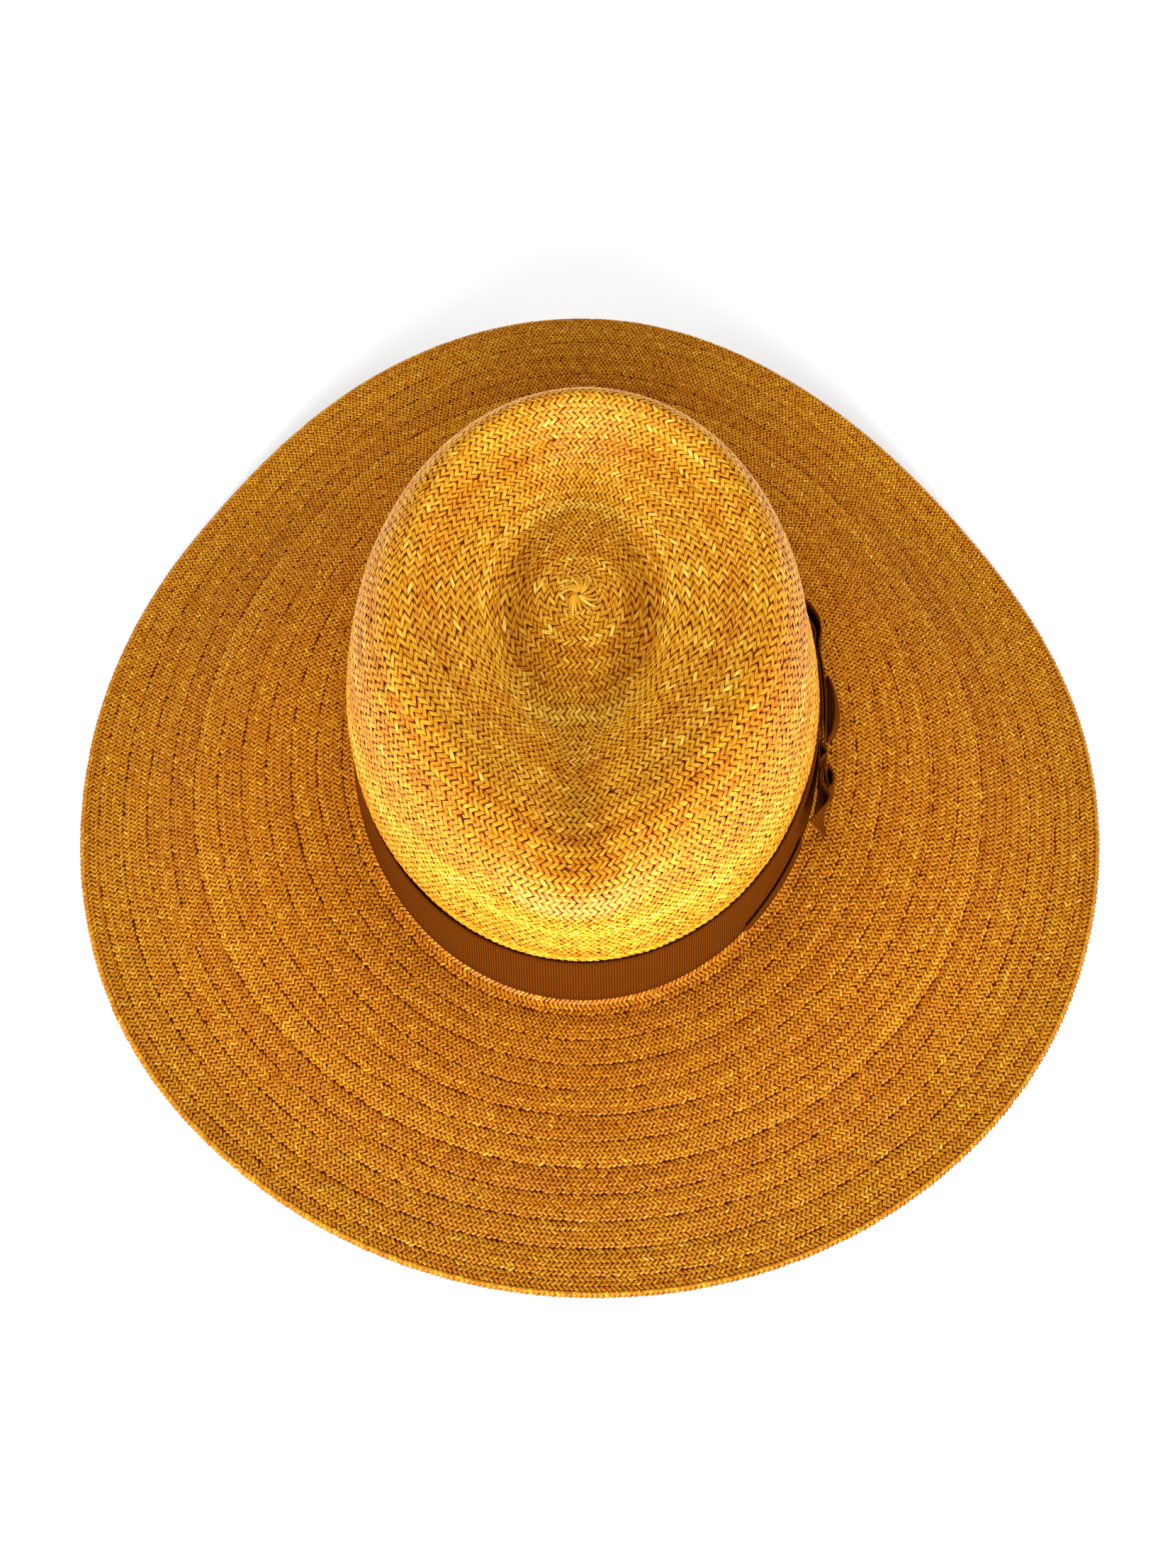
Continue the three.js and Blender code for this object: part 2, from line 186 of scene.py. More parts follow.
def bump(bearing, at, spread):
    """1 at the bearing, falling smoothly to 0 at the spread on either side."""
    off = np.abs((bearing - at + 540) % 360 - 180) / spread
    return np.where(off < 1, np.cos(np.minimum(off, 1) * math.pi / 2) ** 2, 0)


def between(a, b, c, d, w):
    """A Catmull-Rom curve between b and c, at a share w of the way."""
    bend = (2 * a - 5 * b + 4 * c - d) * w * w + (3 * b - a - 3 * c + d) * w**3
    return 0.5 * (2 * b + (c - a) * w + bend)


def around(values, bearing):
    """A closed curve through equally spaced values."""
    values = np.asarray(values, float)
    place = (bearing / 360 * len(values)) % len(values)
    k = np.floor(place).astype(int)
    a, b, c, d = (values[(k + i) % len(values)] for i in (-1, 0, 1, 2))
    return between(a, b, c, d, place - k)


def smooth_rows(rows, places):
    """A smooth curve through rows of numbers, at places from 0 to the last row's number."""
    rows = np.asarray(rows, float)
    k = np.minimum(np.floor(places).astype(int), len(rows) - 2)
    a, b, c, d = (rows[np.clip(k + i, 0, len(rows) - 1)] for i in (-1, 0, 1, 2))
    return between(a, b, c, d, (places - k)[:, None])


def ring_points(ring, bearing):
    """Points of one of the crown's rings, on the top of the straw."""
    c, s = np.cos(np.radians(bearing)), np.sin(np.radians(bearing))
    sides = bump(bearing, FRONT - PINCH["aside"], PINCH["spread"])
    sides = sides + bump(bearing, FRONT + PINCH["aside"], PINCH["spread"])
    out = -ring["pinch"] * sides
    for fold in FOLDS:
        if fold["ring"] == ring["name"]:
            out = out + fold["push"] * bump(bearing, fold["bearing"], fold["spread"])
    z = (
        ring["z_side"]
        + (ring["z_front"] - ring["z_side"]) * np.maximum(-s, 0) ** 2
        + (ring["z_back"] - ring["z_side"]) * np.maximum(s, 0) ** 2
        - ring["groove"] * bump(bearing, FRONT, GROOVE_SPREAD)
    )
    x = CROWN_MID[0] + ring["mid_x"] + (ring["side"] + out) * c
    y = CROWN_MID[1] + ring["mid_y"] + (np.where(s < 0, ring["front"], ring["back"]) + out) * s
    return np.stack([x, y, BASE_LEVEL + z], axis=-1)


def brim_points(bearing, share):
    """The brim's top at shares (0 to 1) of the way from the crown's root to the edge."""
    root = ring_points(RINGS[-1], bearing)
    reach = around(EDGE_REACH, bearing)
    lift = sum(row["height"] * bump(bearing, row["bearing"], row["spread"]) for row in EDGE_LIFTS)
    c, s = np.cos(np.radians(bearing)), np.sin(np.radians(bearing))
    edge = np.stack([reach * c, reach * s, STRAW_WALL + lift], axis=-1)
    point = root[:, None] + (edge - root)[:, None] * share[None, :, None]
    fallen = np.minimum(share / EDGE_STRIP, 1) ** BRIM_DROOP
    high = np.cos(fallen * math.pi / 2) ** 2
    point[:, :, 2] = edge[:, None, 2] + (root - edge)[:, None, 2] * high[None]
    return point


def crown_lines(bearing, steps):
    """Smooth lines through the rings, one for each bearing, with that many steps from ring to ring."""
    rings = [ring_points(ring, bearing) for ring in RINGS]
    rings = [2 * rings[0] - rings[1]] + rings + [2 * rings[-1] - rings[-2]]
    t = (np.arange(steps) / steps)[None, :, None]
    lines = []
    for p0, p1, p2, p3 in zip(rings, rings[1:], rings[2:], rings[3:]):
        gaps = ((p0, p1), (p1, p2), (p2, p3))
        d0, d1, d2 = (np.sqrt(np.linalg.norm(b - a, axis=1))[:, None] for a, b in gaps)
        m1 = ((p1 - p0) / d0 - (p2 - p0) / (d0 + d1) + (p2 - p1) / d1) * d1
        m2 = ((p2 - p1) / d1 - (p3 - p1) / (d1 + d2) + (p3 - p2) / d2) * d1
        p1, p2, m1, m2 = (v[:, None] for v in (p1, p2, m1, m2))
        bend = (3 * (p2 - p1) - 2 * m1 - m2) * t**2 + (2 * (p1 - p2) + m1 + m2) * t**3
        lines.append(p1 + m1 * t + bend)
    return np.concatenate(lines + [rings[-2][:, None]], axis=1)


# ---- The straw surface as rows of weave --------------------------------------------------------

CROWN_ROWS = 108  # rows of floats from the button to the crown's root
BRIM_ROWS = 64  # rows from there to the edge
ROWS = CROWN_ROWS + BRIM_ROWS
BRIM_STRAW_FROM = CROWN_ROWS - 6  # the row, under the ribbon, where the finer straw of the brim starts
ROW_STEPS = 4  # samples of the surface for each row
BEARING_STEPS = 720
LINE_STEPS = 24  # steps of the crown's lines from ring to ring


def straw_surface():
    """Points and normals of the top surface, for equally spaced bearings and rows of the weave."""
    bearing = np.arange(BEARING_STEPS) * 360 / BEARING_STEPS
    lines = crown_lines(bearing, LINE_STEPS)
    share = np.linspace(0, 1, CROWN_ROWS * ROW_STEPS + 1)
    crown = np.empty((BEARING_STEPS, len(share), 3))
    for k, line in enumerate(lines):
        run = np.r_[0, np.cumsum(np.linalg.norm(np.diff(line, axis=0), axis=1))]
        for axis in range(3):
            crown[k, :, axis] = np.interp(share * run[-1], run, line[:, axis])
    brim = brim_points(bearing, np.linspace(0, 1, BRIM_ROWS * ROW_STEPS + 1)[1:])
    points = np.concatenate([crown, brim], axis=1)
    along = np.roll(points, -1, axis=0) - np.roll(points, 1, axis=0)
    down = np.gradient(points, axis=1)
    normals = np.cross(down, along)
    normals[:, 0] = (0, 0, 1)  # the button, where all the lines meet
    normals /= np.linalg.norm(normals, axis=2, keepdims=True)
    return points, normals


SURFACE, NORMALS = straw_surface()


def on_straw(bearing, row, lift):
    """Places on the straw at a bearing and a row of the weave, lifted square to the surface."""
    bearing, row, lift = np.broadcast_arrays(bearing, row, lift)
    u = (bearing / 360 * BEARING_STEPS) % BEARING_STEPS
    v = np.clip(row, 0, ROWS) * ROW_STEPS
    i, j = np.floor(u).astype(int), np.minimum(np.floor(v).astype(int), ROWS * ROW_STEPS - 1)
    wu, wv = (u - i)[..., None], (v - j)[..., None]
    i, i_next = i % BEARING_STEPS, (i + 1) % BEARING_STEPS

    def mixed(field):
        near = field[i, j] * (1 - wu) + field[i_next, j] * wu
        far = field[i, j + 1] * (1 - wu) + field[i_next, j + 1] * wu
        return near * (1 - wv) + far * wv

    return mixed(SURFACE) + mixed(NORMALS) * lift[..., None]


def ring_length(row):
    """The way round the straw along a row of the weave."""
    line = on_straw(np.arange(0, 360, 1.0), float(row), 0.0)
    return np.linalg.norm(line - np.roll(line, 1, axis=0), axis=1).sum()


# ---- Meshes ------------------------------------------------------------------------------------


def make_piece(name, points, faces, material, stands_for=(), values=None, uv=None):
    """A smooth mesh from arrays: points in mm, faces with four corners, values at the points."""
    mesh = bpy.data.meshes.new(name)
    mesh.vertices.add(len(points))
    mesh.vertices.foreach_set("co", (points * MM).astype(np.float32).ravel())
    mesh.loops.add(faces.size)
    mesh.loops.foreach_set("vertex_index", faces.astype(np.int32).ravel())
    mesh.polygons.add(len(faces))
    mesh.polygons.foreach_set("loop_start", np.arange(0, faces.size, 4, dtype=np.int32))
    mesh.update(calc_edges=True)
    mesh.shade_smooth()
    for key, data in (values or {}).items():
        kind = "FLOAT_VECTOR" if data.ndim == 2 else "FLOAT"
        field = "vector" if data.ndim == 2 else "value"
        layer = mesh.attributes.new(key, kind, "POINT")
        layer.data.foreach_set(field, data.astype(np.float32).ravel())
    if uv is not None:
        layer = mesh.uv_layers.new(name="OFBake")
        layer.uv.foreach_set("vector", uv[faces.ravel()].astype(np.float32).ravel())
    mesh.materials.append(material)
    piece = bpy.data.objects.new(name, mesh)
    bpy.context.scene.collection.objects.link(piece)
    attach(piece, "root")
    if stands_for:
        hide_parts(*stands_for)
    return piece


def patch_faces(count, rows, columns, flip=False):
    """Faces of many equal grids of points, each rows x columns."""
    a = np.arange(rows - 1)[:, None] * columns + np.arange(columns - 1)[None, :]
    quad = np.stack([a, a + 1, a + columns + 1, a + columns], axis=-1).reshape(-1, 4)
    if flip:
        quad = quad[:, ::-1]
    return (quad[None] + (np.arange(count) * rows * columns)[:, None, None]).reshape(-1, 4)


# ---- Materials ---------------------------------------------------------------------------------


class Nodes:
    """A short way to write a node tree."""

    def __init__(self, name):
        self.material = bpy.data.materials.new(name)
        self.material.use_nodes = True
        self.tree = self.material.node_tree
        self.shader = self.tree.nodes["Principled BSDF"]

    def add(self, kind, inputs=None, **settings):
        node = self.tree.nodes.new(kind)
        for key, value in settings.items():
            setattr(node, key, value)
        for key, value in (inputs or {}).items():
            self.put(node.inputs[key], value)
        return node

    def put(self, socket, value):
        if isinstance(value, bpy.types.NodeSocket):
            self.tree.links.new(value, socket)
        else:
            socket.default_value = value

    def set(self, **inputs):
        for key, value in inputs.items():
            self.put(self.shader.inputs[key.replace("_", " ")], value)

    def math(self, operation, *values):
        node = self.add("ShaderNodeMath", operation=operation)
        for socket, value in zip(node.inputs, values):
            self.put(socket, value)
        return node.outputs[0]

    def ramp(self, factor, stops):
        node = self.add("ShaderNodeValToRGB", {"Fac": factor})
        elements = node.color_ramp.elements
        while len(elements) < len(stops):
            elements.new(0.5)
        for element, (place, colour) in zip(elements, stops):
            element.position = place
            element.color = (*colour, 1)
        return node.outputs["Color"]

    def mix(self, factor, a, b, blend_type="MIX"):
        node = self.add("ShaderNodeMix", data_type="RGBA", blend_type=blend_type)
        self.put(node.inputs[0], factor)
        self.put(node.inputs[6], a)
        self.put(node.inputs[7], b)
        return node.outputs[2]

    def attribute(self, name):
        return self.add("ShaderNodeAttribute", attribute_name=name, attribute_type="GEOMETRY")


# The straw's colour by its tone.
STRAW_STOPS = (
    (0.0, (0.25, 0.06, 0.001)),
    (0.4, (0.52, 0.15, 0.002)),
    (0.65, (0.66, 0.27, 0.008)),
    (0.85, (0.80, 0.42, 0.025)),
    (1.0, (0.95, 0.62, 0.10)),
)
PALE = (1.0, 0.88, 0.5, 1.0)  # tint of the straw's gloss
WHITE = (1, 1, 1)
BLACK = (0, 0, 0)
FIBRE_SCALE = (1.0, 6.0, 1.1)  # how fast the fibres change: from strand to strand, across, along
FIBRE_STREAK = (0.8, -0.37)  # the fibres' part in the tone: times this, plus this
FIBRE_GLOSS = 0.2  # how far the fibres change the roughness
FIBRE_RELIEF = {"Strength": 0.5, "Distance": 0.0002}

PAINTED_GLINT_STRAW = (0.98, 0.64, 0.12, 1.0)  # painted highlight: pale glints where a strand bends over the next one
# Where those painted glints are, by the fibres and by how far a place lies from the middle of its strand.
PAINTED_GLINT_SPOTS = ((0.5, BLACK), (0.62, WHITE))
PAINTED_GLINT_ACROSS = ((0.12, WHITE), (0.34, BLACK))
PAINTED_GLINT_ALONG = ((0.12, BLACK), (0.3, WHITE), (0.46, BLACK))

# Shade by how far a place lies from the middle of its strand, across it and along it.
SIDE_SHADE = ((0.32, WHITE), (0.5, (0.26, 0.07, 0.02)))
END_SHADE = ((0.42, WHITE), (0.62, (0.36, 0.14, 0.05)))


def straw_material(name, roughness, specular):
    """Strands of straw: each with its own tone, fibres along it, painted shade at its edges and ends and
    painted glints near its crests.

    The strand attribute holds a number of its own, the place across it and the place along it.
    """
    n = Nodes(name)
    tone = n.attribute("tone").outputs["Fac"]
    strand = n.attribute("strand").outputs["Vector"]
    parts = n.add("ShaderNodeSeparateXYZ", {"Vector": strand})
    grain = n.add("ShaderNodeVectorMath", {0: strand, 1: FIBRE_SCALE}, operation="MULTIPLY")
    fibre = n.add("ShaderNodeTexNoise", {"Vector": grain.outputs[0], "Scale": 1.0, "Detail": 3.0})
    streak = n.math("MULTIPLY_ADD", fibre.outputs["Fac"], *FIBRE_STREAK)
    colour = n.ramp(n.math("ADD", tone, streak), STRAW_STOPS)
    painted_glint = n.ramp(fibre.outputs["Fac"], PAINTED_GLINT_SPOTS)
    for axis, shade, crest in (("Y", SIDE_SHADE, PAINTED_GLINT_ACROSS), ("Z", END_SHADE, PAINTED_GLINT_ALONG)):
        off = n.math("ABSOLUTE", n.math("SUBTRACT", parts.outputs[axis], 0.5))
        colour = n.mix(1.0, colour, n.ramp(off, shade), "MULTIPLY")
        painted_glint = n.math("MULTIPLY", painted_glint, n.ramp(off, crest))
    # Painted highlight: pale glints mixed into the straw's colour near each strand's crests.
    colour = n.mix(painted_glint, colour, PAINTED_GLINT_STRAW)
    gloss = n.math("MULTIPLY_ADD", fibre.outputs["Fac"], FIBRE_GLOSS, roughness - FIBRE_GLOSS / 2)
    raised = n.add("ShaderNodeBump", {"Height": fibre.outputs["Fac"], **FIBRE_RELIEF})
    n.set(Base_Color=colour, Roughness=gloss, Normal=raised.outputs["Normal"])
    n.set(Specular_IOR_Level=specular, Specular_Tint=PALE)
    return n.material


WARM = (1.0, 0.66, 0.2, 1.0)  # tint of the ribbon's gloss
RIB_EDGE = 0.75  # power of the ribs' height: under 1 widens the painted highlight on their tops
THREAD_RELIEF = {"Strength": 0.3, "Distance": 0.0002}
# Painted shade between the ribs and painted highlight on their tops.
SHADED_BETWEEN_RIBS = ((0.3, (0.02, 0.004, 0.0002)), (0.7, (0.036, 0.008, 0.0004)))
LIT_ON_RIBS = ((0.3, (0.10, 0.02, 0.0005)), (0.7, (0.145, 0.032, 0.0008)))


def ribbon_material(name):
    """Grosgrain: matt brown silk with fine threads over the ribs, which are in the mesh, with painted
    shade between them and painted highlight on their tops.

    The rib attribute is 1 on a rib and 0 between two. The cloth attribute is a place on the ribbon.
    """
    n = Nodes(name)
    place = n.attribute("cloth").outputs["Vector"]
    thread = n.add("ShaderNodeTexNoise", {"Vector": place, "Scale": 1.0, "Detail": 2.0})
    rib = n.math("POWER", n.attribute("rib").outputs["Fac"], RIB_EDGE)
    low = n.ramp(thread.outputs["Fac"], SHADED_BETWEEN_RIBS)
    high = n.ramp(thread.outputs["Fac"], LIT_ON_RIBS)
    raised = n.add("ShaderNodeBump", {"Height": thread.outputs["Fac"], **THREAD_RELIEF})
    n.set(Base_Color=n.mix(rib, low, high), Roughness=0.85, Normal=raised.outputs["Normal"])
    n.set(Specular_IOR_Level=0.06, Specular_Tint=WARM)
    return n.material


CORE_GRAIN = 900.0  # scale of the shade's spots
CORE_STOPS = ((0.35, (0.05, 0.012, 0.001)), (0.65, (0.14, 0.04, 0.002)))


def core_material(name):
    """What shows between the strands: straw in deep shade."""
    n = Nodes(name)
    grain = n.add("ShaderNodeTexNoise", {"Scale": CORE_GRAIN, "Detail": 2.0})
    n.set(Base_Color=n.ramp(grain.outputs["Fac"], CORE_STOPS), Roughness=0.8, Specular_IOR_Level=0.1)
    return n.material


CROWN_STRAW = straw_material("crown_straw", roughness=0.32, specular=0.5)
BRIM_STRAW = straw_material("brim_straw", roughness=0.3, specular=0.35)
EDGE_STRAW = straw_material("edge_straw", roughness=0.6, specular=0.1)
CORE = core_material("straw_core")
GROSGRAIN = ribbon_material("grosgrain")

# ---- The weave ---------------------------------------------------------------------------------

CROWN_SPACING = 2.5  # from one float to the next, along its row
BRIM_SPACING = 1.7
BAND_ROWS = 6  # rows with the same number of floats; strands are added where the next ones start
FIRST_BANDS = (1, 1, 1, 2, 2, 3, 4, 4)  # the shorter ones round the button
CORE_LIFT = -0.6  # the core's top, from the straw's surface
UNDER_CORE_LIFT = -STRAW_WALL + 0.3  # its underside
CORE_COLUMNS = 180
CORE_ROW_STEP = 2
CORE_ENDS = (0.3, 0.6)  # how far the core stays short of the button and of the edge, in rows

# A float as a grid of points. ALONG: shares of the row's height. ACROSS: shares of its spacing.
# LIFT: height at those places, at its side edges and on its ridge.
ALONG = np.array([-0.25, 0.28, 0.72, 1.25])
ACROSS = np.array([0.01, 0.5, 0.99])
LIFT = np.array(
    [
        [-0.5, -0.45, -0.5],
        [-0.16, 0.12, -0.16],
        [-0.16, 0.12, -0.16],
        [-0.5, -0.45, -0.5],
    ]
)
UNDER_ALONG = np.array([0.02, 0.98])
UNDER_ACROSS = np.array([0.03, 0.97])
UNDER_LIFT = np.array([[0.12, 0.0], [0.0, 0.12]]) - STRAW_WALL
SQUARE = 0.30  # how far each end of a float is cut square instead of along its row
SQUARE_MIDDLE = 0.35  # the same for its middle, as a share of that
JITTER = {"wide": 0.05, "aside": 0.04, "slide": 0.06, "tall": 0.045}  # how far the floats differ
HOLE = (0.2, 0.5)  # how far a float stops short at a band's end, least and most, as shares of a row
HOLE_BEYOND = 0.4  # how far the next band's float starts late there, as a share of that
CROWN_LIT_TONE = 0.62  # painted light: the crown's straw is made lighter than the brim's, for the brighter light on the crown
BRIM_SHADED_TONES = (0.35, 0.48)  # painted shade: darker near the crown, which shades the brim, lighter towards the brim's edge
EDGE_TONE = 0.5  # of the strands folded over the brim's edge
CROWN_HOLES = 0.12  # share of the floats at a band's end that leave a hole
BRIM_HOLES = 0.6
PUFF = 0.3  # how far the middle of a band stands proud of its ends, at most
LEAST_PUFF = 0.4  # the least, as a share of that
FLOAT_TONE_SPREAD = 0.055
GLINT = {"share": 0.08, "tone": 0.2}  # share of the floats that are lighter, and by how much
STRAND_NUMBERS = 900  # each strand has a number of its own up to this, for its fibres
MAP_MARGIN = 0.02  # left free at both ends of each float on the bake map, as a share of its row
STREAK = {"tone": 0.05, "waves": (4, 9, 17, 31)}  # slow changes of tone along a row
CROWN_TONE_SPREAD = {"band": 0.06, "row": 0.05}  # the crown's rows differ more than the brim's
BRIM_TONE_SPREAD = {"band": 0.035, "row": 0.03}


def weave_bands():
    """(first row, rows, floats in each row) of every band of the weave."""
    bands, row = [], 0
    sizes = list(FIRST_BANDS)
    while row < ROWS:
        size = min(sizes.pop(0) if sizes else BAND_ROWS, ROWS - row)
        spacing = CROWN_SPACING if row < BRIM_STRAW_FROM else BRIM_SPACING
        bands.append((row, size, max(round(ring_length(row + size / 2) / spacing), 5)))
        row += size
    return bands


BANDS = weave_bands()


def floats_of_row(row, count, phase, row_tone, seam, raised, under):
    """The floats of one row: points, tones, strand coordinates and map places.

    seam is 1 on the last row of a band and -1 on the first: there some floats stop short of the
    next band and leave a small hole. raised gives the height of the band at a place along the float.
    """
    lean = 1 if (row % 2 == 0) != under else -1
    along, across, lift = (UNDER_ALONG, UNDER_ACROSS, UNDER_LIFT) if under else (ALONG, ACROSS, LIFT)
    k = np.arange(count)[:, None, None]
    t = along[None, :, None]
    c = across[None, None, :]
    wide = rng.normal(1.0, JITTER["wide"], (count, 1, 1))
    aside = rng.normal(0.0, JITTER["aside"], (count, 1, 1))
    slide = rng.normal(0.0, JITTER["slide"], (count, 1, 1))
    tall = rng.normal(0.0, JITTER["tall"], (count, 1, 1))
    holes = CROWN_HOLES if row < BRIM_STRAW_FROM else BRIM_HOLES
    short = rng.uniform(*HOLE, (count, 1, 1)) * (rng.uniform(0, 1, (count, 1, 1)) < holes)
    ends = np.where((t < 0) | (t > 1), 1.0, SQUARE_MIDDLE)
    t = t + slide - lean * SQUARE * (c - 0.5) * 2 * ends
    if seam > 0:
        t = t - short * np.clip(t, 0, 1)
    if seam < 0:
        t = t + HOLE_BEYOND * short * np.clip(1 - t, 0, 1)
    c = 0.5 + (c - 0.5) * wide + aside
    bearing = (k + phase + c + lean * t) / count * 360
    points = on_straw(bearing, row + t, lift[None] + tall + raised(t))
    glint = GLINT["tone"] * (rng.uniform(0, 1, count) < GLINT["share"])
    turn = 2 * math.pi * np.arange(count) / count
    waves = sum(np.sin(wave * turn + rng.uniform(0, 7)) for wave in STREAK["waves"])
    streak = waves * STREAK["tone"] / 2
    tone = np.clip(rng.normal(row_tone, FLOAT_TONE_SPREAD, count) + streak + glint, 0, 1)
    grid = points.shape[1:3]
    strand = np.empty((count, *grid, 3))
    strand[..., 0] = rng.uniform(0, STRAND_NUMBERS, count)[:, None, None]
    strand[..., 1] = (across - across[0]) / (across[-1] - across[0])
    strand[..., 2] = along[:, None]
    uv = np.empty((count, *grid, 2))
    flat_t = (along - along[0]) / (along[-1] - along[0])
    uv[..., 0] = (k + across[None, None, :]) / count
    uv[..., 1] = (row + MAP_MARGIN + (1 - 2 * MAP_MARGIN) * flat_t[None, :, None]) / ROWS
    return points, np.broadcast_to(tone[:, None, None], (count, *grid)), strand, uv


def weave_piece(name, first_row, last_row, under=False):
    """All the floats from one row to another as one joined mesh."""
    parts, counts = [], 0
    phase = 0.0
    for first, size, count in BANDS:
        on_crown = first < BRIM_STRAW_FROM
        spread = CROWN_TONE_SPREAD if on_crown else BRIM_TONE_SPREAD
        # Painted shade: the brim's straw darker near the crown.
        shaded_brim_tone = np.interp(first, (BRIM_STRAW_FROM, ROWS), BRIM_SHADED_TONES)
        # Painted light: the crown's straw lighter than the brim's.
        band_tone = (CROWN_LIT_TONE if on_crown else shaded_brim_tone) + rng.normal(0, spread["band"])
        puff = PUFF * rng.uniform(LEAST_PUFF, 1) * (size == BAND_ROWS) * (not under)
        for row in range(first, first + size):
            if first_row <= row < last_row:
                seam = (row == first + size - 1) - (row == first) if size == BAND_ROWS else 0
                row_tone = band_tone + rng.normal(0, spread["row"])
                step = row - first

                def raised(t):
                    return puff * np.sin(math.pi * np.clip((step + t) / size, 0, 1))

                parts.append(floats_of_row(row, count, phase, row_tone, seam, raised, under))
                counts += count
            phase += 1 if row % 2 == 0 else -1
        phase = rng.uniform(0, 1)
    rows, columns = parts[0][0].shape[1:3]
    points, tone, strand, uv = (
        np.concatenate([part[i].reshape(-1, *part[i].shape[3:]) for part in parts]) for i in range(4)
    )
    uv[:, 1] = (uv[:, 1] * ROWS - first_row) / (last_row - first_row)
    faces = patch_faces(counts, rows, columns, flip=under)
    straw = CROWN_STRAW if first_row < BRIM_STRAW_FROM else BRIM_STRAW
    values = {"tone": tone, "strand": strand}
    return make_piece(name, points, faces, straw, ["straw_body"], values, uv)


def straw_core():
    """The smooth shell that the floats lie on, closed round the edge."""
    column = np.arange(CORE_COLUMNS)[:, None]
    bearing = column * 360 / CORE_COLUMNS
    row = np.r_[CORE_ENDS[0], np.arange(CORE_ROW_STEP, ROWS, CORE_ROW_STEP), ROWS - CORE_ENDS[1]][None, :]
    top = on_straw(bearing, row, CORE_LIFT)
    low = on_straw(bearing, row, UNDER_CORE_LIFT)
    loop = np.concatenate([top, low[:, ::-1]], axis=1)
    points = loop.reshape(-1, 3)
    n = loop.shape[1]
    a = column * n + np.arange(n)[None, :]
    b = (column + 1) % CORE_COLUMNS * n + np.arange(n)[None, :]
    faces = np.stack([a, np.roll(a, -1, axis=1), np.roll(b, -1, axis=1), b], axis=-1).reshape(-1, 4)
    return make_piece("straw_core", points, faces, CORE, ["straw_body"])


# The weave in pieces, so that none has too many triangles.
CROWN_SPLIT = 66
BRIM_SPLITS = (BRIM_STRAW_FROM, CROWN_ROWS + 22, CROWN_ROWS + 44, ROWS)
straw_core()
weave_piece("crown_top_weave", 1, CROWN_SPLIT)
weave_piece("crown_side_weave", CROWN_SPLIT, BRIM_STRAW_FROM)
for place, first, last in zip(("inner", "middle", "outer"), BRIM_SPLITS, BRIM_SPLITS[1:]):
    weave_piece(f"brim_{place}_weave", first, last)
weave_piece("crown_lining_weave", 1, CROWN_ROWS, under=True)
weave_piece("brim_underside_weave", CROWN_ROWS, ROWS, under=True)


BENT_ACROSS = np.array([-0.5, -0.2, 0.2, 0.5])  # a bent strand's section, as shares of its width
BENT_DROP = np.array([-0.35, 0.0, 0.0, -0.35])  # how far its sides lie below its middle
BENT_TONE_SPREAD = 0.12


def bent_strands(name, material, tone, bearing, row, lift, width):
    """Strands that run freely over the straw. bearing, row, lift and width: strands x places."""
    count, places = bearing.shape
    middle = on_straw(bearing, row, lift)
    run = np.gradient(middle, axis=1)
    up = on_straw(bearing, row, lift + 1) - middle
    side = np.cross(run, up)
    side *= (width / np.linalg.norm(side, axis=2))[..., None]
    points = middle[:, :, None] + side[:, :, None] * BENT_ACROSS[:, None]
    points = points + up[:, :, None] * BENT_DROP[:, None]
    grid = points.shape[:3]
    strand = np.empty((*grid, 3))
    strand[..., 0] = rng.uniform(0, STRAND_NUMBERS, count)[:, None, None]
    strand[..., 1] = BENT_ACROSS + 0.5
    strand[..., 2] = np.linspace(0, 1, places)[:, None]
    tone = np.broadcast_to(rng.normal(tone, BENT_TONE_SPREAD, count)[:, None, None], grid)
    values = {"tone": tone.ravel(), "strand": strand.reshape(-1, 3)}
    faces = patch_faces(count, places, len(BENT_ACROSS))
    return make_piece(name, points.reshape(-1, 3), faces, material, ["straw_body"], values)


# The rosette's strands: how far they reach (rows) and turn (degrees), where they start, how high
# they rise and dip at their ends (mm), their width, and how far they differ from each other.
ROSETTE = {
    "strands": 19,
    "steps": 9,
    "start": 0.25,
    "reach": 3.6,
    "turn": 48,
    "low": 0.25,
    "rise": 0.9,
    "dip": 0.5,
    "width": 1.25,
    "aside": 0.3,
    "longer": 0.6,
    "higher": (0.7, 1.2),
}


def rosette():
    """The knot of strands at the middle of the crown's top, where the weave was begun."""
    r = ROSETTE
    t = np.linspace(0, 1, r["steps"])[None, :]
    k = np.arange(r["strands"])[:, None]
    bearing = (k + rng.normal(0, r["aside"], k.shape)) * 360 / r["strands"] + r["turn"] * t**0.7
    row = r["start"] + (r["reach"] + rng.normal(0, r["longer"], k.shape)) * t
    arch = np.sin(math.pi * t**0.8) * rng.uniform(*r["higher"], k.shape)
    lift = r["low"] + r["rise"] * arch - r["dip"] * t**4
    width = r["width"] * np.sin(math.pi * (0.22 + 0.66 * t)) * np.ones(k.shape)
    bent_strands("crown_rosette", CROWN_STRAW, CROWN_LIT_TONE, bearing, row, lift, width)


# The folded strands: where they start and how far out they reach (rows), how high they stand on
# the straw (mm), how far they slant (shares of their spacing) and their width.
TURNED = {"steps": 7, "start": 0.75, "out": 0.72, "proud": 0.12, "slant": 0.9, "width": 1.75}
TURNED_JITTER = {"out": 0.04, "aside": 0.05}  # how far they differ


